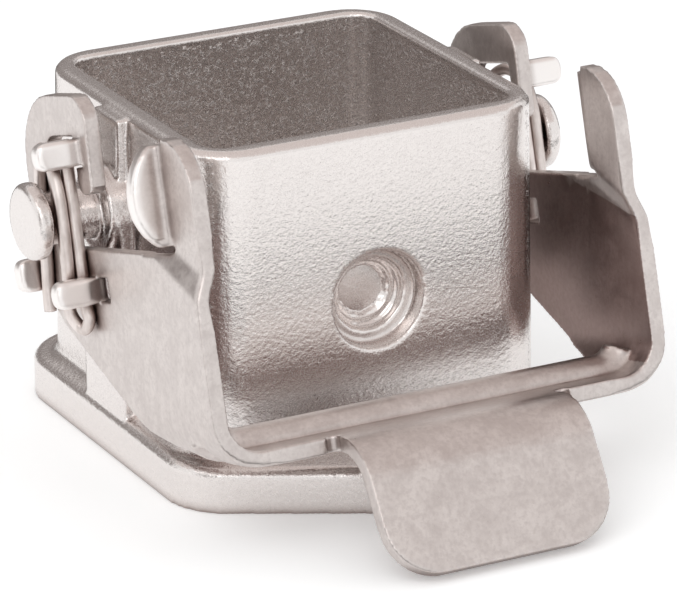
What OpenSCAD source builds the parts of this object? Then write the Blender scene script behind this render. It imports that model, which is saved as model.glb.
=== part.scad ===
// Surface-mounting base of a small square heavy duty connector, with its
// sheet-metal locking lever and the two wire springs that hold the lever on.
// Frame: origin on the mounting face midway between the two fixing holes,
// +Z out of the panel, -Y towards the web and thumb tab of the lever,
// X along the pivot axis. The lever is drawn in its open position.

/* [Housing] */
// Width of the tube over the rim, along X
body_w = 25; // [22:0.5:30]
// Depth of the tube over the rim, along Y
body_d = 24; // [21:0.5:28]
// Height of the rim above the mounting face
rim_z = 23.3; // [21:0.1:28]
// Width of the mating opening
open_w = 22.2; // [19:0.1:23]
// Depth of the mating opening
open_d = 21; // [18:0.1:22]
// Width of the insert seat below the shoulder
seat_w = 20.8; // [18:0.1:21.5]
// Depth of the insert seat below the shoulder
seat_d = 19.6; // [17:0.1:20.5]
// Height of the shoulder the insert rests on
seat_z = 9; // [6:0.5:12]
// Radius of the tube's outer corners
tube_r = 3.6; // [2:0.1:5]
// Radius of the opening's corners
open_r = 1.7; // [0.8:0.1:3]
// Draft of the outer walls, in degrees
draft = 0.9; // [0:0.1:2]
// Bevel on the outer edge of the rim
rim_bevel = 0.35; // [0.1:0.05:0.6]

/* [Flange] */
// Width of the flange, along X
flange_w = 28; // [26:0.5:34]
// Thickness of the flange
flange_t = 3; // [2:0.1:4]
// Length of the flange's straight side between its sharp corners
flange_side = 24.5; // [20:0.5:28]
// Slope of the edges that run in to the ears, in degrees
ear_slope = 28; // [20:1:40]
// Radius of the flange's side corners
flange_r = 4.5; // [2:0.25:6]
// Distance between the fixing holes, along Y
hole_pitch = 30; // [29:0.5:34]
// Diameter of the fixing holes
hole_d = 3.4; // [3:0.1:4.5]
// Radius of the ear round each hole
ear_r = 4.2; // [3.5:0.1:6]
// Bevel on the flange's upper edge
flange_bevel = 0.4; // [0.1:0.05:0.8]
// Skirt that blends the tube into the flange
skirt = 0.5; // [0.2:0.1:1]

/* [Front recess] */
// Height of the recess's centre
recess_z = 11.9; // [9:0.1:15]
// Diameter at the face
recess_d = 6.5; // [5:0.1:8]
// Diameter of the blind floor
floor_d = 3.2; // [2:0.1:4.5]
// Depth of the blind floor below the face
recess_depth = 2.65; // [1.8:0.05:3.5]
// Metal left behind the floor
floor_t = 1.2; // [0.8:0.1:2]

/* [Pivot posts] */
// Height of the pivot axis
pivot_z = 16.6; // [14:0.1:19]
// Diameter of the post's shank
post_d = 3.4; // [2.5:0.1:4.5]
// Diameter of the post's head
head_d = 5; // [4:0.05:7]
// Thickness of the head
head_t = 1.1; // [0.6:0.05:2]
// Diameter of the boss at the foot of the post
boss_d = 5.6; // [4:0.1:7]
// Half width of the pad below the post
pad_half = 2.9; // [2:0.1:4]
// Half width of the pilaster between the post and the rim
pilaster_half = 1.8; // [1:0.1:3]
// Height of the ledge at the foot of the pilaster, above the pivot
ledge_rise = 2.3; // [1:0.1:3]
// How far the pad stands off the rim's side
pad_out = 1.25; // [0.6:0.05:1.6]

/* [Locking lever] */
// Thickness of the lever's sheet
sheet = 1; // [0.7:0.05:1.4]
// Gap from the rim's side to the inner face of an arm
arm_gap = 2.6; // [2:0.1:4]
// Angle of the lever's long axis above the panel when open, in degrees
open_angle = 16; // [8:1:24]
// Distance from the pivot to the lever's front edge
front_reach = 18; // [16.5:0.25:22]
// Distance from the pivot down to the underside of the web
web_drop = 15.7; // [14.5:0.1:16]
// Depth of the web from front edge to back edge
web_depth = 5.2; // [4:0.1:6]
// Inner radius between the arms and the web
corner_ri = 2.2; // [1:0.1:4]
// Clearance below the post in the lever's slot
post_play = 0.45; // [0.3:0.05:0.8]
// Distance from the pivot to the front edge of the hook
hook_front = 4.95; // [4.2:0.05:6]
// How much the hook's front edge draws back towards its tip
hook_taper = 0.45; // [0:0.05:1]
// Distance from the pivot to the back edge of the hook's front strip
strip_back = 2.6; // [2.3:0.05:3.2]
// Height of the hook above the pivot
hook_top = 7.75; // [6.8:0.05:9]
// Height of the hook's tip above the pivot
hook_tip = 1.4; // [0.8:0.1:2]
// Distance from the pivot to the back of the hook
hook_back = 5.5; // [4.8:0.1:7]
// Distance from the pivot to the back face of the cam lip
lip_back = 12.9; // [11.5:0.1:14]
// Height of the horn above the pivot
horn_top = 5; // [3.5:0.1:7]
// Sideways step of the horns towards the housing
joggle = 0.7; // [0.3:0.05:1.2]
// How far the cam lip stands out of the horn
lip_out = 2.05; // [1.5:0.05:3]
// Height of the stiffening bead on the web
bead_h = 1.2; // [0.6:0.1:1.6]
// Width of the thumb tab
thumb_w = 15.8; // [12:0.2:20]
// Straight length of the thumb tab below its bend
thumb_len = 6.5; // [4:0.1:6.5]

/* [Spring tabs] */
// Height of the two front tabs that hold the spring
tab_h = 1.6; // [1.2:0.05:1.8]
// Height of the back tab
back_tab_h = 1.95; // [1.4:0.05:2.2]
// How far the two front tabs stand out of the arm
tab_out = 2.9; // [2.2:0.05:3.2]
// How far the back tab stands out of the arm
back_tab_out = 2; // [1.4:0.05:2.6]
// Back face of the two front tabs, ahead of the pivot
tab_ahead = 2.6; // [2.55:0.05:2.8]
// Height of the upper tab's centre above the pivot
upper_tab_z = 4.15; // [4.05:0.05:4.6]
// Depth of the lower tab's centre below the pivot
lower_tab_z = 4.7; // [4:0.1:5.4]

/* [Wire springs] */
// Diameter of the spring wire
wire_d = 0.8; // [0.6:0.05:1]
// Sideways clearance between the spring and the post's head
wire_play = 0.3; // [0.2:0.05:0.6]

/* [Hidden] */
$fn = 48;
eps = 0.01;
hull_fn = 32;
fit = 0.02;
bend_ri = 0.5;

// Widths that follow from one another, measured out from the middle plane
arm_in = body_w / 2 + arm_gap;
arm_out = arm_in + sheet;
head_in = arm_out + 2 * (wire_d + fit) + wire_play;
head_out = head_in + head_t;
horn_in = arm_in - joggle;
horn_out = horn_in + sheet;
pad_x = body_w / 2 + pad_out;
pilaster_x = pad_x - 0.5;
boss_flare = 0.6;

nickel = [0.80, 0.78, 0.76];
steel = [0.72, 0.70, 0.68];
wire_grey = [0.60, 0.58, 0.56];

// How much wider each side of the tube is at height z than at the rim
function draft_at(z) = (rim_z - z) * tan(draft);

// Four upright discs at the corners of a rounded rectangle
module corner_discs(w, d, r, z, h) {
    for (sx = [-1, 1], sy = [-1, 1])
        translate([sx * (w / 2 - r), sy * (d / 2 - r), z])
            cylinder(r = r, h = h, $fn = hull_fn);
}

// Tube wall: drafted sides with a bevelled rim
module tube_outside() {
    low = 2 * draft_at(flange_t - eps);
    inset = 2 * rim_bevel;
    hull() {
        corner_discs(body_w + low, body_d + low, tube_r + low / 2,
                     flange_t - 2 * eps, eps);
        corner_discs(body_w, body_d, tube_r, rim_z - rim_bevel - eps, eps);
        corner_discs(body_w - inset, body_d - inset, tube_r - rim_bevel,
                     rim_z - eps, eps);
    }
}

// Sloping skirt at the foot of the tube
module tube_skirt() {
    low = 2 * draft_at(flange_t);
    foot = low + 2 * skirt;
    hull() {
        corner_discs(body_w + foot, body_d + foot, tube_r + foot / 2,
                     flange_t - eps, eps);
        corner_discs(body_w + low, body_d + low, tube_r + low / 2,
                     flange_t + skirt, eps);
    }
}

// One level of the flange's outline, drawn in by inset
module flange_level(inset, z, h) {
    side_x = flange_w / 2 - flange_r;
    side_y = flange_side / 2 - flange_r * tan(45 - ear_slope / 2);
    for (sx = [-1, 1], sy = [-1, 1])
        translate([sx * side_x, sy * side_y, z])
            cylinder(r = flange_r - inset, h = h, $fn = hull_fn);
    for (sy = [-1, 1])
        translate([0, sy * hole_pitch / 2, z])
            cylinder(r = ear_r - inset, h = h, $fn = hull_fn);
}

module flange() {
    hull() {
        flange_level(0, 0, flange_t - flange_bevel);
        flange_level(flange_bevel, 0, flange_t);
    }
}

// Through opening for the insert, with the shoulder that stops it
module insert_opening() {
    hull() corner_discs(open_w, open_d, open_r, seat_z, rim_z);
    hull() corner_discs(seat_w, seat_d, open_r, -1, rim_z);
}

// Round pocket through the front wall, stepping down to a blind floor
module front_recess() {
    mid_d = (recess_d + floor_d) / 2;
    face_y = -body_d / 2 - draft_at(recess_z);
    steps = [
        [recess_d, recess_depth * 0.48],
        [mid_d, recess_depth * 0.72],
        [(mid_d + floor_d) / 2 + 0.1, recess_depth * 0.9],
        [floor_d, recess_depth]
    ];
    translate([0, face_y, recess_z])
        rotate([-90, 0, 0])
            for (s = steps)
                translate([0, 0, -1]) cylinder(d = s[0], h = s[1] + 1);
}

// Metal behind the blind floor, standing into the opening
module recess_boss() {
    face_y = -body_d / 2 - draft_at(recess_z);
    depth = recess_depth + floor_t;
    translate([0, face_y + 1, recess_z])
        rotate([-90, 0, 0])
            cylinder(d1 = recess_d + 2, d2 = floor_d + 2.4, h = depth - 1);
}

// Cast post with its head, its boss and the pad it rises from (+X side)
module pivot_post() {
    chamfer = 0.3;
    root = open_w / 2 + 0.5;
    translate([0, 0, pivot_z]) rotate([0, 90, 0]) {
        translate([0, 0, root])
            cylinder(d = post_d, h = head_in + head_t / 2 - root);
        translate([0, 0, head_in])
            rotate_extrude()
                polygon([
                    [0, 0], [head_d / 2 - chamfer / 2, 0],
                    [head_d / 2, chamfer / 2],
                    [head_d / 2, head_t - chamfer],
                    [head_d / 2 - chamfer, head_t], [0, head_t]
                ]);
        translate([0, 0, root])
            cylinder(d1 = boss_d + boss_flare, d2 = boss_d,
                     h = pad_x + 0.5 - root);
    }
    // Lower pad down to the flange
    side_block(pad_x, pad_half, flange_t - eps, pivot_z);
    // Ledge over the boss
    side_block(pad_x, pilaster_half, pivot_z - eps, pivot_z + ledge_rise);
    // Pilaster up to the bevel of the rim
    side_block(pilaster_x, pilaster_half, pivot_z, rim_z - rim_bevel);
}

// Block on the side wall of the tube, out to x and between two heights
module side_block(x, half, z0, z1) {
    root = open_w / 2 + 0.4;
    translate([root, -half, z0])
        cube([x - root, 2 * half, z1 - z0]);
}

module housing() {
    color(nickel)
    difference() {
        union() {
            difference() {
                union() {
                    flange();
                    tube_outside();
                    tube_skirt();
                }
                insert_opening();
            }
            pivot_post();
            mirror([1, 0, 0]) pivot_post();
            recess_boss();
        }
        front_recess();
        for (sy = [-1, 1])
            translate([0, sy * hole_pitch / 2, -1])
                cylinder(d = hole_d, h = flange_t + 2);
    }
}

// The lever's own frame: pivot at the origin, arms level, -Y forwards.
// Side views are drawn as (ahead of the pivot, above the pivot).
module side_extrude(x0, x1) {
    translate([x0, 0, 0])
        rotate([90, 0, 90])
            linear_extrude(x1 - x0)
                mirror([1, 0]) children();
}

// Arc of radius r that rounds the corner b between a and c
function corner_arc(a, b, c, r) =
    let (
        u = unit(a - b),
        v = unit(c - b),
        half = acos(u * v) / 2,
        mid = b + unit(u + v) * (r / sin(half)),
        s0 = b + u * (r / tan(half)) - mid,
        s1 = b + v * (r / tan(half)) - mid,
        turn = atan2(s0.x * s1.y - s0.y * s1.x, s0 * s1),
        n = max(2, ceil(abs(turn) / 15))
    )
    [for (i = [0 : n])
        let (t = turn * i / n)
        mid + [s0.x * cos(t) - s0.y * sin(t), s0.x * sin(t) + s0.y * cos(t)]];

// Outline whose corners [x, y, r] are rounded by r
function rounded(corners) = [
    for (i = [0 : len(corners) - 1])
        let (
            n = len(corners),
            xy = [for (q = corners) [q.x, q.y]],
            r = corners[i][2]
        )
        each r == 0 ? [xy[i]]
            : corner_arc(xy[(i + n - 1) % n], xy[i], xy[(i + 1) % n], r)
];

slot_r = post_d / 2 + post_play;
web_back = front_reach - web_depth;
joggle_low = -slot_r - 0.45;
joggle_run = 2.4;
joggle_rise = 1.5;
arm_short = 0.2;
lip_ri = 0.55;
lip_root = lip_back + sheet + lip_ri;

// Outline of arm, hook and web seen from the side, without the slot
module arm_outline() {
    polygon(rounded([
        [front_reach, -web_drop, 0],
        [front_reach, joggle_low - joggle_run - arm_short, 0],
        [lip_back, joggle_low - arm_short, 0],
        [lip_back, -slot_r, 0],
        [0, -slot_r, 0],
        [0, 0, 0],
        [hook_front - hook_taper, 0, 0],
        [hook_front, hook_top, 1.9],
        [-hook_back + 0.3, hook_top, 4.6],
        [-hook_back, 1.8, 0],
        [-hook_back + 0.3, -2.6, 3],
        [-hook_back + 0.8, -5.2, 1.5],
        [-hook_back + 2.6, -7.1, 4],
        [web_back - 4.8, -web_drop + 2.1, 4],
        [web_back - 0.3, -web_drop + 0.75, 0.6],
        [web_back - 0.2, -web_drop, 0]
    ]));
}

// Slot that the post passes through, open to the front below the hook,
// with the blank of the upper tab cut from its top
module post_slot() {
    tip_rise = 1.6;
    blank_low = upper_tab_z - tab_h / 2 - 0.25;
    blank_high = upper_tab_z + tab_h / 2 + 0.15;
    polygon(rounded([
        [-slot_r + 0.06, 0, 0],
        [0, -slot_r + 0.06, 0],
        [0, -slot_r, 0],
        [hook_front + 3, -slot_r, 0],
        [hook_front + 3, hook_tip + tip_rise, 0],
        [hook_front + 0.15, hook_tip + tip_rise, 0],
        [hook_front - 0.55, hook_tip, 0.9],
        [strip_back, hook_tip, 0.8],
        [strip_back, blank_low, 0],
        [upper_root - 0.3, blank_low, 0.3],
        [upper_root - 0.3, blank_high, 0.3],
        [-slot_r + 0.5, blank_high, 1.2]
    ]));
}

// Window left where the lower tab was lanced out
module lower_window() {
    translate([tab_ahead - bend_ri, -lower_tab_z - tab_h / 2])
        square([window_reach, tab_h]);
}

// Notch where the back tab turns out of the arm
module back_notch() {
    translate([-hook_back - 2, -back_tab_low - back_tab_h - 0.3])
        square([hook_back + 2 - back_tab_ahead + bend_ri, back_tab_h + 0.6]);
}

// L-shaped strip bent out of a sheet. The flat leg lies below v = 0 and
// starts at u = ri + sheet; the out leg rises to v = out over u = 0..sheet.
module bent_profile(out, ri) {
    c = ri + sheet;
    translate([c, ri])
        intersection() {
            difference() {
                circle(c);
                circle(ri);
            }
            translate([-c, -c]) square(c);
        }
    translate([0, ri]) square([sheet, out - ri]);
    translate([c - eps, -sheet]) square([2 * eps, sheet]);
}

// Bent strip on an arm of the +X side: base at the arm's outer face,
// rear face at "ahead" when dir = 1 (rooted ahead of itself), or front
// face at "ahead" when dir = -1 (rooted behind), with a rounded free end
module bent_tab(ahead, mid, height, out, dir) {
    spare = 0.3;
    translate([0, 0, mid])
        intersection() {
            translate([arm_out, -ahead, -height / 2 - spare])
                multmatrix([
                    [0, 1, 0, 0],
                    [-dir, 0, 0, 0],
                    [0, 0, 1, 0]
                ])
                    linear_extrude(height + 2 * spare)
                        bent_profile(out + spare, bend_ri);
            translate([0, hook_back * 2, 0])
                rotate([90, 0, 0])
                    linear_extrude(hook_back * 4)
                        polygon(rounded([
                            [arm_in - spare, -height / 2, 0],
                            [arm_out + out, -height / 2, 0.5],
                            [arm_out + out, height / 2, 0.5],
                            [arm_in - spare, height / 2, 0]
                        ]));
        }
}

// The back tab's face that the wire rests on, behind the pivot
back_tab_low = 2.9;
wire_back = 3.75;
back_tab_ahead = wire_back + wire_d / 2 + fit;
// Where the upper tab's bend starts, and the lower tab's window ends
upper_root = tab_ahead + sheet + bend_ri;
window_reach = 3;

module spring_tabs() {
    bent_tab(tab_ahead, upper_tab_z, tab_h, tab_out, 1);
    bent_tab(tab_ahead + sheet, -lower_tab_z, tab_h, tab_out, -1);
    bent_tab(-back_tab_ahead - sheet, -back_tab_low - back_tab_h / 2,
             back_tab_h, back_tab_out, 1);
}

// Channel section of arms and web, seen from the front
module channel_section() {
    ro = corner_ri + sheet;
    difference() {
        union() {
            translate([-arm_out, -web_drop + ro])
                square([2 * arm_out, web_drop + hook_top]);
            translate([-arm_out + ro, -web_drop])
                square([2 * (arm_out - ro), ro + eps]);
            for (sx = [-1, 1])
                translate([sx * (arm_out - ro), -web_drop + ro]) circle(ro);
        }
        translate([-arm_in, -web_drop + ro])
            square([2 * arm_in, web_drop + hook_top + 1]);
        translate([-arm_in + corner_ri, -web_drop + sheet])
            square([2 * (arm_in - corner_ri), corner_ri + eps]);
        for (sx = [-1, 1])
            translate([sx * (arm_in - corner_ri), -web_drop + ro])
                circle(corner_ri);
    }
}

module channel() {
    intersection() {
        translate([0, hook_back + 1, 0])
            rotate([90, 0, 0])
                linear_extrude(front_reach + hook_back + 2)
                    channel_section();
        side_extrude(-arm_out - 1, arm_out + 1)
            difference() {
                arm_outline();
                circle(slot_r);
                post_slot();
                lower_window();
                back_notch();
            }
    }
}

// Stiffening bead pressed into the web, and the reliefs of the thumb tab
groove_r = 0.9;
bead_sweep = 62;
groove_sweep = 58;
relief_r = 0.5;
thumb_lead = 0.5;

// Round bar that follows the web and turns up into both corners
module bead_bar(r, z, sweep) {
    ahead = web_back + 1.4;
    cx = arm_in - corner_ri;
    cz = -web_drop + corner_ri + sheet;
    translate([-cx, -ahead, z])
        rotate([0, 90, 0])
            cylinder(r = r, h = 2 * cx);
    for (sx = [0, 1])
        mirror([sx, 0, 0])
            translate([cx, -ahead, cz])
                rotate([90, 0, 0])
                    rotate([0, 0, -90])
                        rotate_extrude(angle = sweep)
                            translate([cz - z, 0]) circle(r);
}

// Horn set in by the joggle, with the cam lip on its back edge (+X side)
module horn() {
    slope = atan(joggle_run / (front_reach - lip_back));
    seam = 0.6;
    far = 2 * front_reach;
    intersection() {
        side_extrude(horn_in - 1, arm_out + 1)
            polygon(rounded([
                [lip_root, -slot_r, 0],
                [lip_back - seam / 2, -slot_r, 0],
                [lip_back - seam / 2, joggle_low - seam, 0],
                [front_reach, joggle_low - joggle_run - seam, 0],
                [front_reach, horn_top, 3.5],
                [lip_root, horn_top, 0]
            ]));
        translate([0, -lip_back, joggle_low])
            rotate([90 + slope, 0, 0])
                translate([0, 0, -front_reach])
                    linear_extrude(far)
                        polygon([
                            [arm_in, -far], [arm_out, -far],
                            [arm_out, 0], [horn_out, joggle_rise],
                            [horn_out, far], [horn_in, far],
                            [horn_in, joggle_rise], [arm_in, 0]
                        ]);
    }
    cam_lip();
}

// Edge of the horn bent outwards behind the hood's peg, arched outside
module cam_lip() {
    mid = (horn_top - slot_r) / 2;
    half = (horn_top + slot_r) / 2;
    arch_r = (half * half + lip_out * lip_out) / (2 * lip_out);
    root = sqrt(pow(arch_r, 2) - pow(arch_r - lip_out + lip_ri, 2));
    ro = lip_ri + sheet;
    translate([horn_out + lip_ri, -lip_back - ro, mid - root])
        linear_extrude(2 * root)
            intersection() {
                difference() {
                    circle(ro);
                    circle(lip_ri);
                }
                translate([-ro, 0]) square(ro);
            }
    translate([0, -lip_back, mid])
        rotate([90, 0, 0])
            linear_extrude(sheet)
                intersection() {
                    translate([horn_out + lip_out - arch_r, 0])
                        circle(arch_r);
                    translate([horn_out + lip_ri, -half])
                        square([lip_out, 2 * half]);
                }
}

// Thumb tab: bent down from the web's front edge
module thumb_tab() {
    ri = 2.6;
    ro = ri + sheet;
    turn = 72;
    corner = 3.4;
    start = front_reach + thumb_lead;
    intersection() {
        translate([-thumb_w / 2, 0, 0])
            side_extrude(0, thumb_w) {
                translate([front_reach - thumb_lead, -web_drop])
                    square([2 * thumb_lead + eps, sheet]);
                translate([start, -web_drop - ri])
                    intersection() {
                        difference() {
                            circle(ro, $fn = 72);
                            circle(ri, $fn = 72);
                        }
                        polygon([
                            [0, 0], [0, 2 * ro],
                            [2 * ro, 2 * ro],
                            [2 * ro, 2 * ro * tan(90 - turn)]
                        ]);
                    }
                translate([start + ri * sin(turn),
                           -web_drop - ri + ri * cos(turn)])
                    rotate(-turn)
                        translate([-eps, 0])
                            square([thumb_len, sheet]);
            }
        translate([0, -start, -web_drop - ri])
            rotate([turn - 90, 0, 0])
                translate([0, 0, -thumb_len])
                    rotate([90, 0, 0])
                        translate([0, 0, -3 * ro])
                            linear_extrude(6 * ro) {
                                hull() {
                                    for (sx = [-1, 1])
                                        translate([sx * (thumb_w / 2 - corner),
                                                   corner])
                                            circle(corner);
                                    translate([-thumb_w / 2, corner])
                                        square([thumb_w, 3 * thumb_len]);
                                }
                            }
    }
}

// Relief notches where the thumb tab leaves the web
module thumb_reliefs() {
    for (sx = [-1, 1])
        translate([sx * (thumb_w / 2 + 0.6 * relief_r), -front_reach,
                   -web_drop - 1])
            cylinder(r = relief_r, h = sheet + 2);
}

module locking_lever() {
    color(steel)
    translate([0, 0, pivot_z])
        rotate([-open_angle, 0, 0]) {
            difference() {
                union() {
                    channel();
                    bead_bar(bead_h + 0.1, -web_drop + sheet - 0.1,
                             bead_sweep);
                    thumb_tab();
                }
                bead_bar(groove_r, -web_drop, groove_sweep);
                thumb_reliefs();
            }
            for (sx = [0, 1])
                mirror([sx, 0, 0]) {
                    horn();
                    spring_tabs();
                }
        }
}

// Wire route in the lever's frame: [ahead, above, lane], where lane 0 lies
// against the arm and lane 1 lies outside it, next to the post's head
post_lane = post_d / 2 + wire_d / 2 + fit;
tab_lane = tab_ahead - wire_d / 2 - 2 * fit;
upper_low = upper_tab_z - tab_h / 2;
lower_high = -lower_tab_z + tab_h / 2;
lower_low = -lower_tab_z - tab_h / 2;
loop_z = lower_low - 1.75;
route = [
    [-wire_back - 0.15, -6.3, 0],
    [-wire_back + 0.05, -back_tab_low - back_tab_h, 0],
    [-wire_back + 0.45, -back_tab_low - 0.1, 0],
    [-2.9, 0, 0],
    [-2.6, 2.2, 0],
    [-1.8, 3.8, 0.1],
    [-0.5, 4.45, 0.6],
    [0.75, upper_low + 0.7, 0.95],
    [1.7, upper_low - 0.2, 1],
    [post_lane - 0.03, 1.6, 1],
    [post_lane, 0, 1],
    [tab_lane - 0.13, -1.9, 1],
    [tab_lane - 0.35, lower_high, 1],
    [1.35, lower_low + 0.6, 1],
    [1.05, lower_low - 0.4, 0.9],
    [1.3, loop_z + 0.6, 0.7],
    [1.85, loop_z, 0.3],
    [2.3, loop_z + 0.65, 0],
    [tab_lane + 0.02, lower_low - 0.4, 0],
    [tab_lane - 0.06, lower_low + 0.3, 0],
    [tab_lane - 0.06, lower_high, 0],
    [tab_lane - 0.07, -2, 0],
    [post_lane, 0, 0],
    [tab_lane - 0.03, 1.9, 0],
    [tab_lane, upper_low, 0],
    [tab_lane - 0.05, upper_low + tab_h, 0]
];

function lane_x(lane) = arm_out + fit + wire_d / 2 + lane * (wire_d + fit);
function route_at(i) = let (p = route[i]) [lane_x(p[2]), -p[0], p[1]];

// Catmull-Rom curve through the route's points
function spline_at(i, t) =
    let (
        n = len(route),
        p0 = route_at(max(i - 1, 0)),
        p1 = route_at(i),
        p2 = route_at(i + 1),
        p3 = route_at(min(i + 2, n - 1))
    )
    0.5 * (2 * p1 + (p2 - p0) * t + (2 * p0 - 5 * p1 + 4 * p2 - p3) * t * t
           + (3 * p1 - p0 - 3 * p2 + p3) * t * t * t);

sub_steps = 3;
centres = concat(
    [for (i = [0 : len(route) - 2], k = [0 : sub_steps - 1])
        spline_at(i, k / sub_steps)],
    [route_at(len(route) - 1)]
);

function unit(v) = v / norm(v);
function tangent(i) = unit(centres[min(i + 1, len(centres) - 1)]
                           - centres[max(i - 1, 0)]);
// A reference direction carried along the curve so that rings don't twist
function frames(i, side) =
    let (t = tangent(i), s = unit(side - (side * t) * t))
    i == len(centres) - 1 ? [s] : concat([s], frames(i + 1, s));

// Swept round wire along the centre line
module wire() {
    sides = 10;
    n = len(centres);
    refs = frames(0, [1, 0, 0]);
    r = wire_d / 2;
    points = [
        for (i = [0 : n - 1], j = [0 : sides - 1])
            let (
                t = tangent(i), u = refs[i], v = cross(t, u),
                a = 360 * j / sides
            )
            centres[i] + r * (cos(a) * u + sin(a) * v)
    ];
    walls = [
        for (i = [0 : n - 2], j = [0 : sides - 1])
            let (k = (j + 1) % sides)
            [i * sides + j, i * sides + k,
             (i + 1) * sides + k, (i + 1) * sides + j]
    ];
    polyhedron(
        points = points,
        faces = concat(
            [[for (j = [sides - 1 : -1 : 0]) j]],
            walls,
            [[for (j = [0 : sides - 1]) (n - 1) * sides + j]]
        ),
        convexity = 6
    );
}

module spring_right() {
    color(wire_grey)
    translate([0, 0, pivot_z])
        rotate([-open_angle, 0, 0]) wire();
}

module spring_left() {
    color(wire_grey)
    mirror([1, 0, 0]) spring_right();
}

housing();
locking_lever();
spring_left();
spring_right();
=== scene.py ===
"""Looks of the small square connector base with its locking lever.

The fixed frame gives every size. Each sub-assembly is a class that takes its
CAD node's form, works it into a fine visual mesh and dresses it.
"""

import logging
import math
from dataclasses import dataclass
from enum import Enum

import bmesh
import bpy
from mathutils import Matrix, Vector

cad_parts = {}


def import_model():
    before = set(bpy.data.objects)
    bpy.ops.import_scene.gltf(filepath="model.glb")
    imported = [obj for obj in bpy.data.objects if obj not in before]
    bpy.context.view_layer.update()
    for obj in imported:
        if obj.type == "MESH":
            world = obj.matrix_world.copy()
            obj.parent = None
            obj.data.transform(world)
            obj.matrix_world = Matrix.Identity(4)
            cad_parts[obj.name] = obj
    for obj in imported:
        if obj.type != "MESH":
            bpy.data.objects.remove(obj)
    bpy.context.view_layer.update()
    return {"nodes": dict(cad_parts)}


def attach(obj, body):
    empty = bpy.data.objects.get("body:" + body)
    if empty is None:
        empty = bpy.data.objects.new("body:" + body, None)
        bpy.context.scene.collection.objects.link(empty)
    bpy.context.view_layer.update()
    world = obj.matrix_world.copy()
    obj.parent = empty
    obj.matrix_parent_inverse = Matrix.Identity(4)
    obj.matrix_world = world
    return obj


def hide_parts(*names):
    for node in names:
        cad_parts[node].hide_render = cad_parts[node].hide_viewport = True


Colour = tuple[float, float, float]
Place = tuple[float, float, float]
Span = tuple[float, float]
Socket = bpy.types.NodeSocket

LOG = logging.getLogger("connector_base")
MM = 0.001
SEAM = 0.002 * MM  # points closer than this are one point
PEEL = 0.27 * MM  # size of one dimple of the plating's orange peel
WHITE: Colour = (1.0, 1.0, 1.0)
UNIT: Span = (0.0, 1.0)
NOISE: Span = (0.3, 0.7)  # values that a noise pattern mostly keeps to
OPENNESS: Span = (0.3, 0.85)  # openness of a deep hollow and of a plain face
OPENNESS_SAMPLES = 8
MIX_AMOUNT, MIX_FIRST, MIX_SECOND, MIX_RESULT = 0, 6, 7, 2  # the colour sockets of a Mix node


class Finish(Enum):
    """Names of the materials that the pieces are dressed in."""

    CAST = "cast_nickel"
    SHEET = "lever_sheet"
    WIRE = "spring_wire"


class Ray(Enum):
    """Kinds of ray that see the plain white surroundings."""

    CAMERA = "Is Camera Ray"
    GLOSSY = "Is Glossy Ray"
    TRANSMISSION = "Is Transmission Ray"


def rgb(value: Colour) -> tuple[float, float, float, float]:
    """Return a colour with full opacity.

    Args:
        value: Linear red, green and blue.

    Returns:
        The same colour with an alpha of one.
    """
    return (value[0], value[1], value[2], 1.0)


def ramp(value: float, low: float, high: float) -> float:
    """Run from nought to one as a value goes from one limit to another.

    Args:
        value: The value.
        low: Limit that gives nought.
        high: Limit that gives one, above or below the other.

    Returns:
        The share, held between nought and one.
    """
    return min(1.0, max(0.0, (value - low) / (high - low)))


@dataclass(frozen=True)
class Pattern:
    """One noise pattern of a finish.

    Attributes:
        scale: Noise cells per metre.
        detail: Number of octaves.
        rough: Weight of the finer octaves.
        stretch: Scale of the pattern along each axis.
        span: Noise values that count as none of the pattern and all of it.
        least: What the pattern gives where there is none of it.
        height: Height of its relief in metres.
        strength: Share of the relief that shows.
    """

    scale: float
    detail: float = 2.0
    rough: float = 0.5
    stretch: Place = (1.0, 1.0, 1.0)
    span: Span = UNIT
    least: float = 0.0
    height: float = 0.0
    strength: float = 1.0


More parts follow.
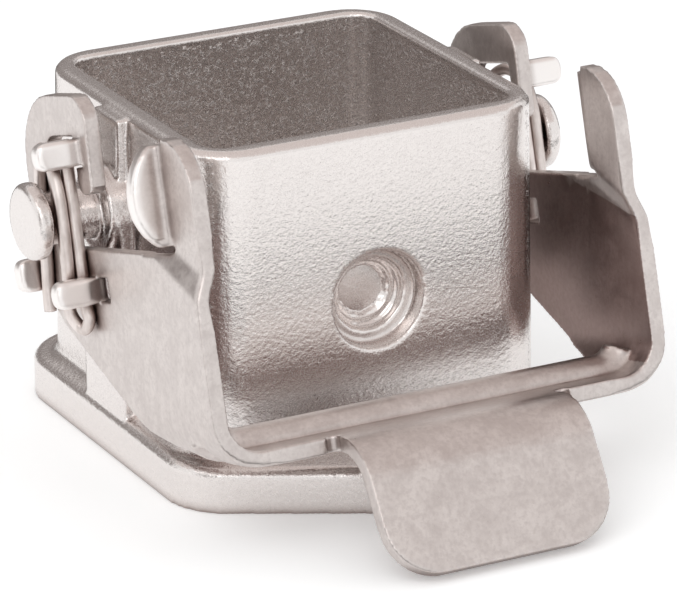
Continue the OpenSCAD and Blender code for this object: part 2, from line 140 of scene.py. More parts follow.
class NodeSheet:
    """A small builder for one material's node tree."""

    def __init__(self, name: str, metallic: float = 0.0) -> None:
        """Start an empty node material.

        Args:
            name: Name of the material.
            metallic: One for a metal.
        """
        self.material = bpy.data.materials.new(name)
        self.material.use_nodes = True
        self.tree = self.material.node_tree
        self.tree.nodes.clear()
        output = self.tree.nodes.new("ShaderNodeOutputMaterial")
        self.shader = self.tree.nodes.new("ShaderNodeBsdfPrincipled")
        self.link(self.shader.outputs["BSDF"], output.inputs["Surface"])
        self.coords = self.tree.nodes.new("ShaderNodeTexCoord").outputs["Object"]
        self.put("Metallic", metallic)

    def link(self, source: Socket, target: Socket) -> None:
        """Join two sockets."""
        self.tree.links.new(source, target)

    def feed(self, name: str, source: Socket) -> None:
        """Join a socket to the shader's input of that name."""
        self.link(source, self.shader.inputs[name])

    def put(self, name: str, value: float | tuple[float, float, float, float]) -> None:
        """Set the shader's input of that name."""
        self.shader.inputs[name].default_value = value

    def noise(self, pattern: Pattern) -> Socket:
        """Add a noise pattern in object space.

        Args:
            pattern: The pattern.

        Returns:
            The noise value's socket.
        """
        mapping = self.tree.nodes.new("ShaderNodeMapping")
        mapping.inputs["Scale"].default_value = pattern.stretch
        self.link(self.coords, mapping.inputs["Vector"])
        node = self.tree.nodes.new("ShaderNodeTexNoise")
        node.inputs["Scale"].default_value = pattern.scale
        node.inputs["Detail"].default_value = pattern.detail
        node.inputs["Roughness"].default_value = pattern.rough
        self.link(mapping.outputs["Vector"], node.inputs["Vector"])
        return node.outputs["Fac"]

    def remap(self, source: Socket, span: Span, result: Span = UNIT) -> Socket:
        """Map a range of values to another, clamped.

        Args:
            source: Socket to read.
            span: Values that become the ends of the result.
            result: Ends of the result.

        Returns:
            The mapped value's socket.
        """
        node = self.tree.nodes.new("ShaderNodeMapRange")
        node.clamp = True
        node.inputs["From Min"].default_value = span[0]
        node.inputs["From Max"].default_value = span[1]
        node.inputs["To Min"].default_value = result[0]
        node.inputs["To Max"].default_value = result[1]
        self.link(source, node.inputs["Value"])
        return node.outputs["Result"]

    def amount(self, noise: Socket, pattern: Pattern) -> Socket:
        """Give how much of a pattern there is.

        Args:
            noise: The pattern's noise value.
            pattern: The pattern.

        Returns:
            The socket of the amount, from the pattern's least to one.
        """
        return self.remap(noise, pattern.span, (pattern.least, 1.0))

    def combine(self, kind: str, first: Socket, second: Socket) -> Socket:
        """Combine two values with a math operation.

        Args:
            kind: Name of the math operation.
            first: First value.
            second: Second value.

        Returns:
            The result's socket.
        """
        node = self.tree.nodes.new("ShaderNodeMath")
        node.operation = kind
        self.link(first, node.inputs[0])
        self.link(second, node.inputs[1])
        return node.outputs[0]

    def blend(self, amount: Socket, low: Colour, high: Colour) -> Socket:
        """Blend two colours by an amount.

        Args:
            amount: Socket from nought to one.
            low: Colour at nought.
            high: Colour at one.

        Returns:
            The colour's socket.
        """
        band = self.tree.nodes.new("ShaderNodeValToRGB")
        band.color_ramp.elements[0].color = rgb(low)
        band.color_ramp.elements[1].color = rgb(high)
        self.link(amount, band.inputs["Fac"])
        return band.outputs["Color"]

    def dim(self, colour: Socket, amount: Socket, low: Colour) -> Socket:
        """Darken a colour where an amount is low.

        Args:
            colour: The colour.
            amount: Socket from nought to one; one leaves the colour as it is.
            low: What the colour is multiplied by at nought.

        Returns:
            The colour's socket.
        """
        mix = self.tree.nodes.new("ShaderNodeMix")
        mix.data_type = "RGBA"
        mix.blend_type = "MULTIPLY"
        mix.inputs[MIX_AMOUNT].default_value = 1.0
        self.link(colour, mix.inputs[MIX_FIRST])
        self.link(self.blend(amount, low, WHITE), mix.inputs[MIX_SECOND])
        return mix.outputs[MIX_RESULT]

    def mix(self, colour: Socket, other: Colour, amount: Socket) -> Socket:
        """Go from a colour to a plain one by an amount.

        Args:
            colour: Colour at nought.
            other: Colour at one.
            amount: Socket from nought to one.

        Returns:
            The colour's socket.
        """
        mix = self.tree.nodes.new("ShaderNodeMix")
        mix.data_type = "RGBA"
        self.link(amount, mix.inputs[MIX_AMOUNT])
        self.link(colour, mix.inputs[MIX_FIRST])
        mix.inputs[MIX_SECOND].default_value = rgb(other)
        return mix.outputs[MIX_RESULT]

    def openness(self, reach: float) -> Socket:
        """Measure how open the surface is, so that hollows can be painted darker as shade.

        Args:
            reach: How far the surroundings count, in metres.

        Returns:
            The socket of the openness, nought in a deep hollow.
        """
        node = self.tree.nodes.new("ShaderNodeAmbientOcclusion")
        node.samples = OPENNESS_SAMPLES
        node.inputs["Distance"].default_value = reach
        return self.remap(node.outputs["AO"], OPENNESS)

    def attribute(self, name: str) -> Socket:
        """Read a mark left on the mesh.

        Args:
            name: Name of the mark.

        Returns:
            The mark's socket.
        """
        node = self.tree.nodes.new("ShaderNodeAttribute")
        node.attribute_name = name
        return node.outputs["Fac"]

    def bump(self, relief: Socket, pattern: Pattern, below: Socket | None = None,
             where: Socket | None = None) -> Socket:
        """Add a pattern's relief on top of an earlier one.

        Args:
            relief: The pattern's value.
            pattern: The pattern, whose height and strength are used.
            below: Normal of an earlier relief.
            where: Share of the relief that shows, where it isn't the same all over.

        Returns:
            The bumped normal's socket.
        """
        node = self.tree.nodes.new("ShaderNodeBump")
        node.inputs["Distance"].default_value = pattern.height
        node.inputs["Strength"].default_value = pattern.strength
        if where is not None:
            self.link(where, node.inputs["Strength"])
        self.link(relief, node.inputs["Height"])
        if below is not None:
            self.link(below, node.inputs["Normal"])
        return node.outputs["Normal"]


@dataclass(frozen=True)
class CastNickel:
    """Nickel plating on a die casting, with its orange-peel skin.

    Attributes:
        tone: Colour of the raised skin.
        shade: Colour of the dimples.
        hollow_shade: What the colour is multiplied by in deep hollows, as painted shade.
        roughness: Least and most roughness.
        reach: How far the surroundings count for a hollow's painted shade.
        peel: The orange peel.
        fine: Finer grain on the peel.
        swell: Slow waviness of the casting.
        patch: Broad patches where the skin is duller.
        grit: Coarse sparkling grit on the cavity's walls.
    """

    tone: Colour = (0.82, 0.775, 0.755)
    shade: Colour = (0.79, 0.745, 0.725)
    hollow_shade: Colour = (0.42, 0.36, 0.34)
    roughness: Span = (0.17, 0.30)
    reach: float = 1.2 * MM
    peel: Pattern = Pattern(1.0 / PEEL, 2.5, 0.6, span=(0.36, 0.56), height=0.038 * MM)
    fine: Pattern = Pattern(3.1 / PEEL, height=0.0114 * MM)
    swell: Pattern = Pattern(0.2 / PEEL, height=0.02 * MM, strength=0.5)
    patch: Pattern = Pattern(150.0, 3.0, 0.6, span=(0.3, 0.6), least=0.6)
    grit: Pattern = Pattern(1.2 / PEEL, 3.0, 0.7, span=(0.57, 0.66), height=0.1 * MM)

    def make(self) -> bpy.types.Material:
        """Build the material.

        Returns:
            The finished material.
        """
        sheet = NodeSheet(Finish.CAST.value, 1.0)
        peel, fine = sheet.noise(self.peel), sheet.noise(self.fine)
        swell, patch = sheet.noise(self.swell), sheet.noise(self.patch)
        # Darker in the peel's dimples and in the broad duller patches, lighter on the raised
        # skin.
        peel_and_patches = sheet.combine(
            "MULTIPLY", sheet.amount(peel, self.peel), sheet.amount(patch, self.patch)
        )
        colour = sheet.blend(peel_and_patches, self.shade, self.tone)
        # Painted shade: the colour is darker in hollows, the more closed in they are.
        colour = sheet.dim(colour, sheet.openness(self.reach), self.hollow_shade)
        sheet.feed("Base Color", colour)
        sheet.feed("Roughness", sheet.remap(fine, NOISE, self.roughness))
        calm, deep = sheet.attribute("peel"), sheet.attribute("inner")
        normal = sheet.bump(swell, self.swell)
        normal = sheet.bump(peel, self.peel, normal, calm)
        normal = sheet.bump(fine, self.fine, normal, calm)
        grit = sheet.amount(sheet.noise(self.grit), self.grit)
        sheet.feed("Normal", sheet.bump(grit, self.grit, normal, deep))
        return sheet.material


@dataclass(frozen=True)
class PressedSheet:
    """Nickel-plated pressed steel, satin with fine mottling.

    Attributes:
        tone: Colour of the bright spots.
        shade: Colour of the dull spots.
        hollow_shade: What the colour is multiplied by in deep hollows, as painted shade.
        inner: What the colour is multiplied by on the sheet's inner side, as painted shade.
        tab_highlight: Colour of the painted highlight on the tabs, which stands for the light
            that catches their tops.
        roughness: Least and most roughness.
        reach: How far the surroundings count for a hollow's painted shade.
        cloud: Broad mottling.
        fleck: Small flecks.
        scrape: Upright drawing marks.
        grain: Grain of the plating.
    """

    tone: Colour = (0.72, 0.665, 0.64)
    shade: Colour = (0.56, 0.505, 0.485)
    hollow_shade: Colour = (0.42, 0.35, 0.33)
    inner: Colour = (0.55, 0.46, 0.45)
    tab_highlight: Colour = (0.95, 0.91, 0.89)
    roughness: Span = (0.27, 0.42)
    reach: float = 1.6 * MM
    cloud: Pattern = Pattern(620.0, 5.0, 0.72, span=(0.36, 0.6), least=0.3,
                             height=0.008 * MM, strength=0.7)
    fleck: Pattern = Pattern(3200.0, 2.0, 0.6, span=(0.34, 0.55), least=0.45,
                             height=0.01 * MM, strength=0.8)
    scrape: Pattern = Pattern(1500.0, 3.0, 0.65, (1.0, 1.0, 0.06), (0.36, 0.5), 0.7,
                              height=0.004 * MM, strength=0.6)
    grain: Pattern = Pattern(5200.0, height=0.003 * MM, strength=0.6)

    def make(self) -> bpy.types.Material:
        """Build the material.

        Returns:
            The finished material.
        """
        sheet = NodeSheet(Finish.SHEET.value, 1.0)
        cloud, fleck = sheet.noise(self.cloud), sheet.noise(self.fleck)
        grain, scrape = sheet.noise(self.grain), sheet.noise(self.scrape)
        mottle = sheet.amount(cloud, self.cloud)
        mottle = sheet.combine("MULTIPLY", mottle, sheet.amount(fleck, self.fleck))
        mottle = sheet.combine("MULTIPLY", mottle, sheet.amount(scrape, self.scrape))
        colour = sheet.blend(mottle, self.shade, self.tone)
        # Painted highlight: the tabs are painted lighter, standing for the light that catches
        # them.
        colour = sheet.mix(colour, self.tab_highlight, sheet.attribute("proud"))
        # Painted shade: the colour is darker in hollows, the more closed in they are.
        colour = sheet.dim(colour, sheet.openness(self.reach), self.hollow_shade)
        # Painted shade on the inner sides of the arms and the web, which face the housing.
        colour = sheet.dim(colour, sheet.attribute("open"), self.inner)
        sheet.feed("Base Color", colour)
        sheet.feed("Roughness", sheet.remap(cloud, NOISE, self.roughness))
        normal = sheet.bump(cloud, self.cloud)
        normal = sheet.bump(scrape, self.scrape, normal)
        normal = sheet.bump(fleck, self.fleck, normal)
        sheet.feed("Normal", sheet.bump(grain, self.grain, normal))
        return sheet.material


@dataclass(frozen=True)
class SpringWire:
    """Drawn spring wire, mottled, with fine marks of its drawing.

    Attributes:
        tone: Colour of the bright spots.
        shade: Colour of the dull spots.
        hollow_shade: What the colour is multiplied by in deep hollows, as painted shade.
        roughness: Least and most roughness.
        reach: How far the surroundings count for a hollow's painted shade.
        cloud: Mottling.
        draw: Drawing marks.
    """

    tone: Colour = (0.86, 0.79, 0.76)
    shade: Colour = (0.62, 0.55, 0.52)
    hollow_shade: Colour = (0.45, 0.38, 0.36)
    roughness: Span = (0.32, 0.46)
    reach: float = 1.0 * MM
    cloud: Pattern = Pattern(1100.0, 3.0, 0.62, (1.0, 1.0, 0.3), (0.35, 0.62),
                             height=0.01 * MM, strength=0.6)
    draw: Pattern = Pattern(4200.0, 2.0, 0.6, (1.0, 1.0, 0.12),
                            height=0.008 * MM, strength=0.8)

    def make(self) -> bpy.types.Material:
        """Build the material.

        Returns:
            The finished material.
        """
        sheet = NodeSheet(Finish.WIRE.value, 1.0)
        cloud, draw = sheet.noise(self.cloud), sheet.noise(self.draw)
        colour = sheet.blend(sheet.amount(cloud, self.cloud), self.shade, self.tone)
        # Painted shade: the colour is darker in hollows, the more closed in they are.
        colour = sheet.dim(colour, sheet.openness(self.reach), self.hollow_shade)
        sheet.feed("Base Color", colour)
        sheet.feed("Roughness", sheet.remap(cloud, NOISE, self.roughness))
        normal = sheet.bump(cloud, self.cloud)
        sheet.feed("Normal", sheet.bump(draw, self.draw, normal))
        return sheet.material


@dataclass
class Skin:
    """A CAD node's form as one soft skin, its edges rolled over and its corners filled.

    Attributes:
        node: Name of the CAD node.
        body: Body that the piece rides on.
        finish: Finish of the piece; not used.
        voxel: Size of the remesh's cells.
        rounds: Rounds of smoothing that roll the edges over.
        grow: How far the skin is pushed back out after smoothing.
        share: Share of the faces that is kept.
        halfway: Share of the way that each round of smoothing moves a point.
    """

    node: str
    body: str
    finish: Finish
    voxel: float = 0.15 * MM
    rounds: int = 4
    grow: float = 0.03 * MM
    share: float = 1.0
    halfway: float = 0.5

    def copy(self, source: bpy.types.Object) -> bpy.types.Object:
        """Copy the node's mesh with its seams closed.

        Args:
            source: The CAD node.

        Returns:
            The new object.
        """
        mesh = source.data.copy()
        mesh.name = self.node + "_skin"
        work = bmesh.new()
        work.from_mesh(mesh)
        bmesh.ops.remove_doubles(work, verts=work.verts, dist=SEAM)
        work.to_mesh(mesh)
        work.free()
        piece = bpy.data.objects.new(mesh.name, mesh)
        bpy.context.scene.collection.objects.link(piece)
        return piece

    def smooth(self, piece: bpy.types.Object, name: str, rounds: int, group: str = "") -> None:
        """Smooth a piece, or the points of one of its groups.

        Args:
            piece: The piece.
            name: Name of the modifier.
            rounds: Rounds of smoothing.
            group: Name of the group, or nothing for all points.
        """
        roll = piece.modifiers.new(name, "SMOOTH")
        roll.factor = self.halfway
        roll.iterations = rounds
        roll.vertex_group = group

    @staticmethod
    def swell(piece: bpy.types.Object, name: str, depth: float, group: str = "") -> None:
        """Push a piece outwards, or the points of one of its groups.

        Args:
            piece: The piece.
            name: Name of the modifier.
            depth: How far, in metres.
            group: Name of the group, or nothing for all points.
        """
        out = piece.modifiers.new(name, "DISPLACE")
        out.mid_level = 0.0
        out.strength = depth
        out.vertex_group = group

    @staticmethod
    def bake(piece: bpy.types.Object) -> None:
        """Turn a piece's modifiers into its mesh.

        Args:
            piece: The piece.
        """
        graph = bpy.context.evaluated_depsgraph_get()
        baked = bpy.data.meshes.new_from_object(piece.evaluated_get(graph))
        piece.modifiers.clear()
        piece.data = baked
        baked.name = piece.name

    def soften(self, piece: bpy.types.Object) -> None:
        """Remesh the copy finely, smooth it and push it back out to size.

        Args:
            piece: The copy.
        """
        fine = piece.modifiers.new("fine", "REMESH")
        fine.mode = "VOXEL"
        fine.voxel_size = self.voxel
        self.smooth(piece, "roll", self.rounds)
        self.bake(piece)
        self.shape(piece)
        self.swell(piece, "out", self.grow)
        thin = piece.modifiers.new("thin", "DECIMATE")
        thin.ratio = self.share
        self.bake(piece)

    def shape(self, piece: bpy.types.Object) -> None:
        """Add the piece's own rework between remeshing and thinning.

        Args:
            piece: The remeshed copy.
        """

    def mark(self, mesh: bpy.types.Mesh) -> None:
        """Leave marks on the finished mesh for the material to read.

        Args:
            mesh: The finished mesh.
        """

    def build(self, source: bpy.types.Object, material: bpy.types.Material) -> bpy.types.Object:
        """Copy the node's form, rework it and dress it.

        Args:
            source: The CAD node.
            material: Finish of the piece.

        Returns:
            The new piece.
        """
        piece = self.copy(source)
        self.soften(piece)
        mesh = piece.data
        for polygon in mesh.polygons:
            polygon.use_smooth = True
        self.mark(mesh)
        mesh.materials.clear()
        mesh.materials.append(material)
        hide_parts(self.node)
        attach(piece, self.body)
        return piece


@dataclass
class Casting(Skin):
    """The cast housing, smooth in its front recess and sparkling inside.

    Attributes:
        recess_z: Height of the front recess's centre.
        recess_r: Radius inside which the recess is smooth.
        clear_r: Radius round the recess that is free of grit.
        floor_r: Radius of the recess's blind floor.
        floor_y: Between which depths the floor lies.
        middle: Share of the floor's radius that sets its level.
        front_y: Depth in front of which the front wall lies.
        cavity: Half width and half depth up to the cavity's walls.
        rim_z: Height at which the cavity's walls end.
        faint: Share of the orange peel inside the recess.
        fading: Share of the orange peel that goes towards the rim.
        fading_z: Heights between which it goes.
    """

    recess_z: float = 11.9 * MM
    recess_r: float = 3.2 * MM
    clear_r: float = 4.48 * MM
    floor_r: float = 1.66 * MM
    floor_y: Span = (-10.5 * MM, -9.2 * MM)
    middle: float = 0.4
    front_y: float = -8.0 * MM
    cavity: Span = (11.75 * MM, 11.25 * MM)
    rim_z: float = 22.8 * MM
    faint: float = 0.12
    fading: float = 0.45
    fading_z: Span = (12.0 * MM, 20.0 * MM)

    def shape(self, piece: bpy.types.Object) -> None:
        """Make the recess's blind floor flat right out to its edge.

        Args:
            piece: The remeshed copy.
        """
        near = [
            (math.hypot(vert.co.x, vert.co.z - self.recess_z), vert)
            for vert in piece.data.vertices
            if self.floor_y[0] < vert.co.y < self.floor_y[1]
        ]
        middle = [vert.co.y for reach, vert in near if reach < self.middle * self.floor_r]
        level = sum(middle) / len(middle)
        for reach, vert in near:
            if reach < self.floor_r:
                vert.co.y = level

    def mark(self, mesh: bpy.types.Mesh) -> None:
        """Mark where the orange peel is calm and where the walls sparkle.

        Args:
            mesh: The finished mesh.
        """
        peel = mesh.attributes.new("peel", "FLOAT", "POINT")
        inner = mesh.attributes.new("inner", "FLOAT", "POINT")
        for vert, calm, deep in zip(mesh.vertices, peel.data, inner.data):
            x, y, z = vert.co
            front = y < self.front_y
            reach = math.hypot(x, z - self.recess_z)
            calm.value = 1.0 - self.fading * ramp(z, *self.fading_z)
            if front and reach < self.recess_r:
                calm.value = self.faint
            inside = abs(x) < self.cavity[0] and abs(y) < self.cavity[1] and z < self.rim_z
            deep.value = float(inside and not (front and reach < self.clear_r))


@dataclass
class Lever(Skin):
    """The folded locking lever, its offsets drawn softly and its tabs rounded over.

    Attributes:
        arm_out: Outer face of an arm.
        horn_out: Outer face of a horn.
        offset_z: Height at which a horn steps inwards.
        horn_rise: How far above that a horn is flat again.
        horn_y: Depth in front of which the horns and the bends lie.
        tab_edge: How far out of its face a tab starts to count and counts fully.
        joggle: Distance from the step at which blending starts and is full.
        fold_x: From which half width to which the channel's corner is blended.
        fold_y: The same by depth.
        fold_z: The same by height.
        bend_rounds: Rounds of smoothing at the bends.
        tab_rounds: Rounds of smoothing on the tabs.
        tab_fill: How far the smoothed tabs are pushed back out.
        highlight_edge: How far out of an arm's face the tabs' painted highlight starts and is
            full.
        arm_facing: How squarely an arm's inner side faces inwards.
        arm_x: Half width outside which the arms lie.
        arm_top: Height up to which an arm's inner side is painted darker as shade.
        web_facing: How squarely the web's inner side faces backwards.
        web_y: Depth in front of which the web lies.
        web_top: Height up to which the web's inner side is painted darker as shade.
    """

    arm_out: float = 16.1 * MM
    horn_out: float = 15.4 * MM
    offset_z: float = 17.75 * MM
    horn_rise: float = 1.6 * MM
    horn_y: float = -11.0 * MM
    tab_edge: Span = (0.1 * MM, 0.8 * MM)
    joggle: Span = (2.8 * MM, 1.4 * MM)
    fold_x: Span = (11.6 * MM, 12.8 * MM)
    fold_y: Span = (-14.5 * MM, -16.0 * MM)
    fold_z: Span = (8.0 * MM, 6.5 * MM)
    bend_rounds: int = 70
    tab_rounds: int = 30
    tab_fill: float = 0.1 * MM
    highlight_edge: Span = (0.1 * MM, 1.0 * MM)
    arm_facing: float = 0.7
    arm_x: float = 12.0 * MM
    arm_top: float = 17.0 * MM
    web_facing: float = 0.5
    web_y: float = -16.0 * MM
    web_top: float = 9.0 * MM

    def bending(self, place: Vector) -> float:
        """Tell how strongly the bend at a point is blended.

        Args:
            place: The point.

        Returns:
            A share, nought away from the bends and behind the horns.
        """
        x, y, z = place
        if y >= self.horn_y:
            return 0.0
        fold = ramp(abs(x), *self.fold_x) * ramp(z, *self.fold_z) * ramp(y, *self.fold_y)
        return max(ramp(abs(z - self.offset_z), *self.joggle), fold)

    def standing(self, place: Vector) -> float:
        """Tell how far a point stands out of the sheet's outer face, as tabs do.

        Args:
            place: The point.

        Returns:
            A share, nought on the face itself.
        """
        on_horn = place.y < self.horn_y and place.z > self.offset_z + self.horn_rise
        face = self.horn_out if on_horn else self.arm_out
        return ramp(abs(place.x), face + self.tab_edge[0], face + self.tab_edge[1])

    def shape(self, piece: bpy.types.Object) -> None:
        """Blend the bends in the flat sheet and round the small tabs.

        Args:
            piece: The remeshed copy.
        """
        bends = piece.vertex_groups.new(name="bend")
        tabs = piece.vertex_groups.new(name="tabs")
        for vert in piece.data.vertices:
            for group, share in ((bends, self.bending(vert.co)), (tabs, self.standing(vert.co))):
                if share > 0.0:
                    group.add([vert.index], share, "REPLACE")
        self.smooth(piece, "bend", self.bend_rounds, bends.name)
        self.smooth(piece, "tabs", self.tab_rounds, tabs.name)
        self.swell(piece, "fuller", self.tab_fill, tabs.name)

    def mark(self, mesh: bpy.types.Mesh) -> None:
        """Mark where the sheet's inner side is painted darker as shade and where the tabs get a
        painted highlight.

        Args:
            mesh: The finished mesh.
        """
        clear = mesh.attributes.new("open", "FLOAT", "POINT")
        proud = mesh.attributes.new("proud", "FLOAT", "POINT")
        highlight_from, highlight_full = (self.arm_out + edge for edge in self.highlight_edge)
        for vert, bright, tab_highlight in zip(mesh.vertices, clear.data, proud.data):
            x, y, z = vert.co
            # Share of the tabs' painted highlight, by how far a point stands out of the arm's
            # face.
            tab_highlight.value = ramp(abs(x), highlight_from, highlight_full)
            inwards = -math.copysign(1.0, x) * vert.normal.x
            arm = inwards > self.arm_facing and abs(x) > self.arm_x and z < self.arm_top
            web = vert.normal.y > self.web_facing and y < self.web_y and z < self.web_top
            # Nought where the inner side takes painted shade.
            bright.value = float(not (arm or web))


@dataclass
class Wire(Skin):
    """A swept wire, rounded by subdivision.

    Attributes:
        flat: Angle in degrees under which neighbouring facets are one.
        sides: Sides of a facet along the wire; a cut end has more.
        crisp: Crease of the cut ends' edges.
        levels: Levels of subdivision.
    """

    flat: float = 0.6
    sides: int = 4
    crisp: float = 0.8
    levels: int = 2

    def soften(self, piece: bpy.types.Object) -> None:
        """Merge the swept facets, keep the cut ends crisp and subdivide.

        Args:
            piece: The copy.
        """
        work = bmesh.new()
        work.from_mesh(piece.data)
        bmesh.ops.dissolve_limit(
            work, angle_limit=math.radians(self.flat), verts=work.verts, edges=work.edges,
            use_dissolve_boundaries=False,
        )
        crease = work.edges.layers.float.new("crease_edge")
        for face in work.faces:
            if len(face.verts) > self.sides:
                for edge in face.edges:
                    edge[crease] = self.crisp
        work.to_mesh(piece.data)
        work.free()
        round_off = piece.modifiers.new("round", "SUBSURF")
        round_off.levels = self.levels
        round_off.render_levels = self.levels
        self.swell(piece, "swell", self.grow)


@dataclass
class Studio:
    """Plain pale floor, soft lamp, cards that only reflections see, and the camera.

    Attributes:
        azimuth: Direction of the camera in degrees.
        elevation: Height of the camera in degrees.
        roll: Turn of the camera about its axis in degrees.
        distance: Distance of the camera.
        lens: Focal length in millimetres.
        sensor: Width of the sensor in millimetres.
        near: Distance at which the camera starts to see.
        centre: What the camera turns about.
        slide: How far the camera moves to its right and up.
        aim: What the lamp is aimed at.
        key_place: Position of the lamp.
        key_size: Width and height of the lamp.
        key_power: Power of the lamp in watts.
        fill: Strength of the surroundings as a lamp.
        floor_half: Half width of the floor.
        floor_tone: Colour of the floor.
        floor_rough: Roughness of the floor.
        lift: Light that the floor shows to the camera and to reflections.
        card_tone: Colour of the cards' light.
        ceiling: Brightness of the ceiling card.
        rear: Brightness of the standing card behind.
        strip: Brightness of the strips on the left and right.
        strip_place: Position of the right strip; the left one lies across from it.
        strip_half: Half width and half height of a strip.
        strip_facing: Direction that a strip faces in degrees.
        low: Brightness of the card that lies behind; the front one has half.
        low_z: Height of the lying cards.
    """

    azimuth: float = -27.7066
    elevation: float = 20.7823
    roll: float = 0.3307
    distance: float = 322.167 * MM
    lens: float = 261.12
    sensor: float = 36.0
    near: float = 0.01
    centre: Place = (0.0, 0.0, 13.0 * MM)
    slide: Span = (3.1109 * MM, -4.7909 * MM)
    aim: Place = (0.0, 0.0, 12.0 * MM)
    key_place: Place = (-0.35, -0.30, 0.45)
    key_size: float = 0.5
    key_power: float = 1.0
    fill: float = 0.75
    floor_half: float = 3.0
    floor_tone: Colour = (0.97, 0.97, 0.97)
    floor_rough: float = 0.9
    lift: float = 0.25
    card_tone: Colour = (1.0, 0.91, 0.88)
    ceiling: float = 0.75
    rear: float = 0.3
    strip: float = 0.3
    strip_place: Place = (0.43, 0.22, 0.15)
    strip_half: Span = (0.07, 0.22)
    strip_facing: float = 62.6
    low: float = 0.15
    low_z: float = 0.6 * MM

    def camera(self) -> None:
        """Place the camera."""
        data = bpy.data.cameras.new("camera")
        data.lens = self.lens
        data.sensor_width = self.sensor
        data.clip_start = self.near
        camera = bpy.data.objects.new("camera", data)
        bpy.context.scene.collection.objects.link(camera)
        a, e = math.radians(self.azimuth), math.radians(self.elevation)
        back = Vector((math.sin(a) * math.cos(e), -math.cos(a) * math.cos(e), math.sin(e)))
        right = Vector((math.cos(a), math.sin(a), 0.0))
        up = back.cross(right)
        turn = Matrix((right, up, back)).transposed() @ Matrix.Rotation(
            math.radians(-self.roll), 3, "Z"
        )
        place = Vector(self.centre) + turn @ Vector((*self.slide, self.distance))
        camera.matrix_world = Matrix.Translation(place) @ turn.to_4x4()
        bpy.context.scene.camera = camera

    def world(self) -> None:
        """Make the white surroundings and the dimmer fill light."""
        world = bpy.data.worlds.new("surroundings")
        bpy.context.scene.world = world
        world.use_nodes = True
        tree = world.node_tree
        tree.nodes.clear()
        out = tree.nodes.new("ShaderNodeOutputWorld")
        mix = tree.nodes.new("ShaderNodeMixShader")
        for slot, strength in enumerate((self.fill, 1.0), start=1):
            light = tree.nodes.new("ShaderNodeBackground")
            light.inputs["Color"].default_value = rgb(WHITE)
            light.inputs["Strength"].default_value = strength
            tree.links.new(light.outputs[0], mix.inputs[slot])
        path = tree.nodes.new("ShaderNodeLightPath")
        seen = path.outputs[Ray.CAMERA.value]
        for kind in (Ray.GLOSSY, Ray.TRANSMISSION):
            either = tree.nodes.new("ShaderNodeMath")
            either.operation = "MAXIMUM"
            tree.links.new(seen, either.inputs[0])
            tree.links.new(path.outputs[kind.value], either.inputs[1])
            seen = either.outputs[0]
        tree.links.new(seen, mix.inputs["Fac"])
        tree.links.new(mix.outputs[0], out.inputs["Surface"])

    def lamp(self) -> None:
        """Add the soft area lamp aimed at the object."""
        data = bpy.data.lights.new("key", "AREA")
        data.shape = "RECTANGLE"
        data.size = self.key_size
        data.size_y = self.key_size
        data.energy = self.key_power
        lamp = bpy.data.objects.new("key", data)
        bpy.context.scene.collection.objects.link(lamp)
        turn = (Vector(self.aim) - Vector(self.key_place)).to_track_quat("-Z", "Y")
        lamp.matrix_world = Matrix.Translation(self.key_place) @ turn.to_matrix().to_4x4()

    @staticmethod
    def plate(name: str, centre: Place, half: Span,
              facing: float | None = None) -> bpy.types.Object:
        """Make a level or standing plate of one face.

        Args:
            name: Name of the plate.
            centre: Centre in metres.
            half: Half width and half depth, or half height when it stands.
            facing: Direction a standing plate faces, in degrees from +Y towards +X.

        Returns:
            The plate.
        """
        mesh = bpy.data.meshes.new(name)
        work = bmesh.new()
        bmesh.ops.create_grid(work, x_segments=1, y_segments=1, size=1.0)
        bmesh.ops.scale(work, verts=work.verts, vec=(*half, 1.0))
        if facing is not None:
            turn = Matrix.Rotation(math.radians(-facing), 3, "Z")
            turn = turn @ Matrix.Rotation(math.radians(90.0), 3, "X")
            bmesh.ops.rotate(work, verts=work.verts, cent=(0.0, 0.0, 0.0), matrix=turn)
        bmesh.ops.translate(work, verts=work.verts, vec=centre)
        work.to_mesh(mesh)
        work.free()
        plate = bpy.data.objects.new(name, mesh)
        bpy.context.scene.collection.objects.link(plate)
        return plate

    def card(self, name: str, centre: Place, half: Span, level: float,
             facing: float | None = None) -> None:
        """Hang a level or standing card that only reflections see.

        Args:
            name: Name of the card.
            centre: Centre in metres.
            half: Half width and half depth, or half height when it stands.
            level: Brightness of the card.
            facing: Direction a standing card faces, in degrees from +Y towards +X.
        """
        card = self.plate(name, centre, half, facing)
        sheet = NodeSheet(name)
        sheet.put("Base Color", rgb((0.0, 0.0, 0.0)))
        sheet.put("Specular IOR Level", 0.0)
        sheet.put("Emission Color", rgb(self.card_tone))
        sheet.put("Emission Strength", level)
        card.data.materials.append(sheet.material)
        card.visible_camera = False
        card.visible_diffuse = False
        card.visible_shadow = False

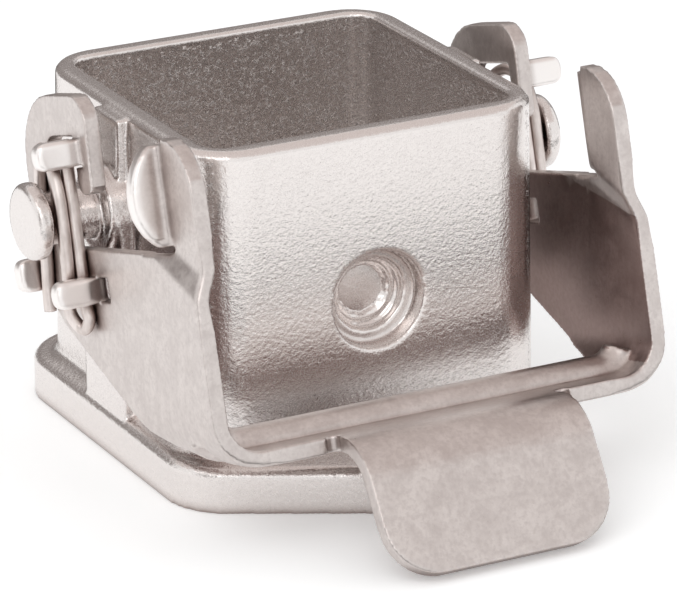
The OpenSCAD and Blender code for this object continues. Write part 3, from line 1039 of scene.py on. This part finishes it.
    def cards(self) -> None:
        """Hang all cards: above, behind, on both sides and just over the floor."""
        self.card("ceiling", centre=(0.0, 0.0, 0.5), half=(0.55, 0.55), level=self.ceiling)
        self.card("rear", centre=(0.0, 0.55, 0.2), half=(0.7, 0.2), level=self.rear, facing=0.0)
        x, y, z = self.strip_place
        for name, side in (("left_strip", -1.0), ("right_strip", 1.0)):
            self.card(name, centre=(side * x, side * y, z), half=self.strip_half,
                      level=self.strip, facing=self.strip_facing)
        self.card("rear_floor", centre=(0.22, 0.28, self.low_z), half=(0.24, 0.24),
                  level=self.low)
        self.card("front_floor", centre=(0.0, -0.0375, self.low_z), half=(0.09, 0.0070),
                  level=0.5 * self.low)

    def floor(self) -> None:
        """Lay the pale floor."""
        floor = self.plate("floor", (0.0, 0.0, 0.0), (self.floor_half, self.floor_half))
        sheet = NodeSheet("floor")
        sheet.put("Base Color", rgb(self.floor_tone))
        sheet.put("Roughness", self.floor_rough)
        sheet.put("Specular IOR Level", 0.0)
        path = sheet.tree.nodes.new("ShaderNodeLightPath")
        seen = sheet.combine(
            "MAXIMUM", path.outputs[Ray.CAMERA.value], path.outputs[Ray.GLOSSY.value]
        )
        sheet.put("Emission Color", rgb(WHITE))
        sheet.feed("Emission Strength", sheet.remap(seen, UNIT, (0.0, self.lift)))
        floor.data.materials.append(sheet.material)

    def build(self) -> None:
        """Set up the whole studio."""
        self.camera()
        self.world()
        self.lamp()
        self.cards()
        self.floor()
        bpy.context.scene.view_settings.view_transform = "Standard"


def main(frame: dict) -> None:
    """Build every piece in order and report each.
    """
    skins = (
        (Casting("housing", "base", Finish.CAST, voxel=0.16 * MM, grow=0.03 * MM, share=0.25),
         CastNickel().make()),
        (Lever("locking_lever", "lever", Finish.SHEET, voxel=0.1 * MM, grow=0.02 * MM, share=0.3),
         PressedSheet().make()),
    )
    wire = SpringWire().make()
    springs = tuple(
        (Wire(name, "lever", Finish.WIRE, grow=0.04 * MM), wire)
        for name in ("spring_left", "spring_right")
    )
    for skin, material in skins + springs:
        piece = skin.build(frame["nodes"][skin.node], material)
        LOG.info("%s: %d faces", piece.name, len(piece.data.polygons))
    Studio().build()


if __name__ == "__main__":
    logging.basicConfig(level=logging.INFO)
    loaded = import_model()
    main(loaded)
